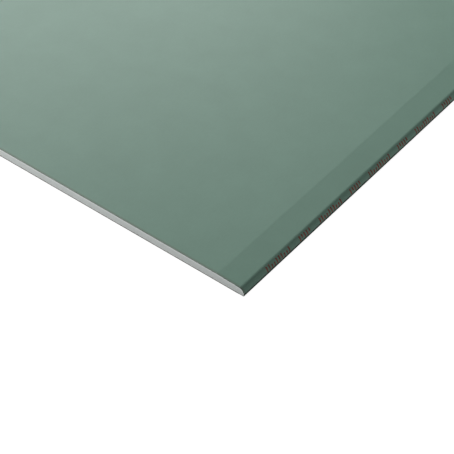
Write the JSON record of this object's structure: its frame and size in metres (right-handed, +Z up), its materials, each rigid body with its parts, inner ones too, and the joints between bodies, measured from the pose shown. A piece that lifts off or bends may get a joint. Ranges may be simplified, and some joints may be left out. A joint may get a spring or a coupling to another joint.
{
  "type": "drywall sheet",
  "caption": "Flat moisture-resistant gypsum board, faced and edge-wrapped in green paper, with tapered half-round long edges and square-cut ends that show the core.",
  "frame": {"origin": "under the middle of the sheet, on the surface that its back lies on", "axes": "+X across the sheet, +Y along its papered edges, +Z up out of its face"},
  "size_m": [1.2, 2.5, 0.0125],
  "materials": {
    "gypsum": "matte",
    "green_paper": "satin",
    "grey_paper": "matte"
  },
  "bodies": {
    "root": {"gypsum_core": "gypsum", "face_paper": "green_paper", "back_paper": "grey_paper"}
  },
  "joints": []
}
